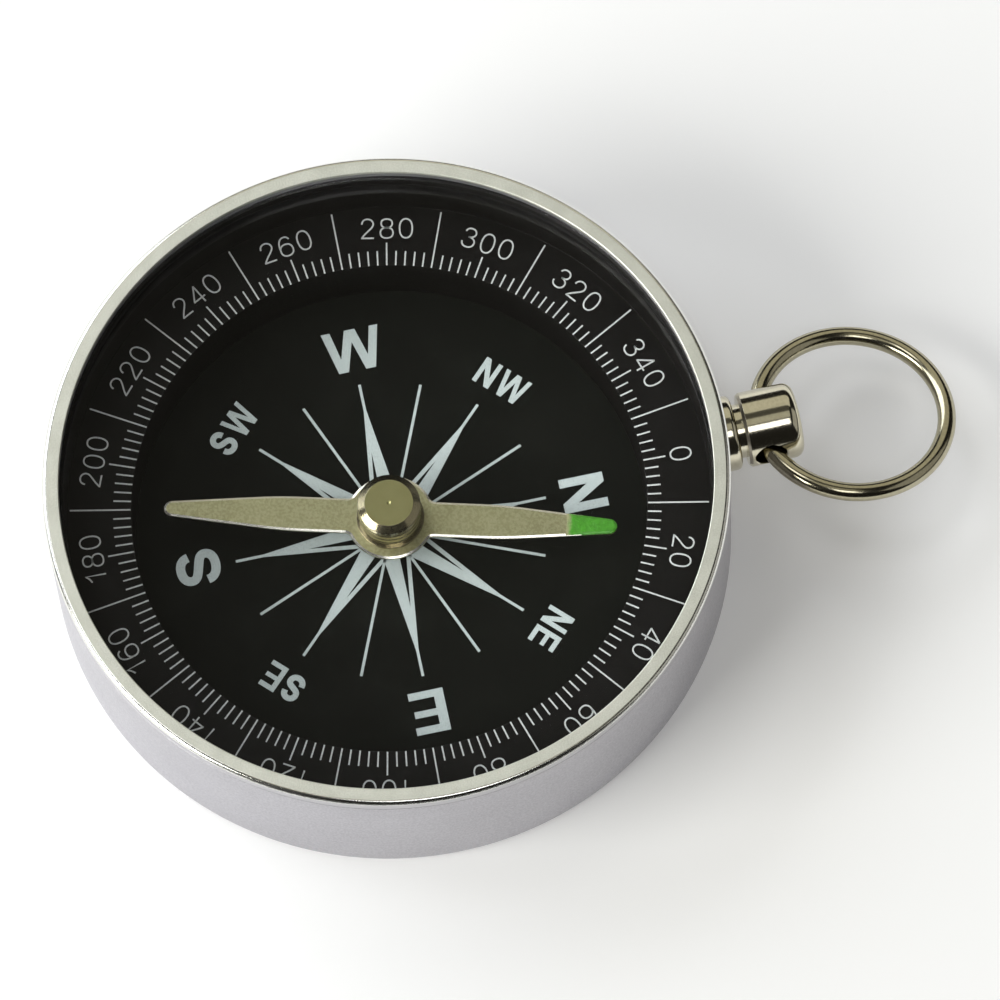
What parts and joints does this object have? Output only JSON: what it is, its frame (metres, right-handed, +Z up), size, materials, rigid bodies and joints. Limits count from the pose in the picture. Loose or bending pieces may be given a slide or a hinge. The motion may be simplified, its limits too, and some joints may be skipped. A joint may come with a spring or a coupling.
{
  "type": "pocket compass",
  "caption": "Round pocket compass: aluminium case, clear lens, degree ring over a rose dial, pivoted needle with a green north end, and a bow ring hinged in a turned stem.",
  "frame": {"origin": "middle of the case's flat underside", "axes": "+Z up out of the lens, +Y towards the bow stem, +X to the right of the stem seen from above"},
  "size_m": [0.045, 0.0606, 0.012],
  "materials": {
    "satin_aluminium": "satin turned aluminium",
    "polished_rim": "polished rim",
    "clear_acrylic": "clear acrylic",
    "black_moulding": "black satin moulding",
    "black_card": "black printed card",
    "bush_brass": "turned brass",
    "pin_steel": "ground steel",
    "needle_nickel": "satin nickel on steel",
    "green_paint": "luminous green paint",
    "cap_nickel": "polished nickel on brass",
    "jewel": "hard bearing cup",
    "stem_nickel": "polished nickel",
    "bow_nickel": "polished nickel wire"
  },
  "bodies": {
    "case": {"case_body": "satin_aluminium", "bezel_ring": "polished_rim", "lens": "clear_acrylic", "degree_ring": "black_moulding", "dial_plate": "black_card", "pivot_base": "bush_brass", "pivot_pin": "pin_steel", "bow_stem": "stem_nickel"},
    "needle": {"needle_blade": "needle_nickel", "north_paint": "green_paint", "needle_cap": "cap_nickel", "cap_jewel": "jewel"},
    "bow": {"bow_ring": "bow_nickel"}
  },
  "joints": [
    {"name": "needle_spin", "type": "hinge", "parent": "case", "child": "needle", "pos_m": [0, 0, 0.0035], "axis": [0, 0, 1], "continuous": true},
    {"name": "bow_swing", "type": "hinge", "parent": "case", "child": "bow", "pos_m": [0, 0.0253, 0.006], "axis": [0.9744, 0, 0.225], "range_deg": [-104, 120]}
  ]
}
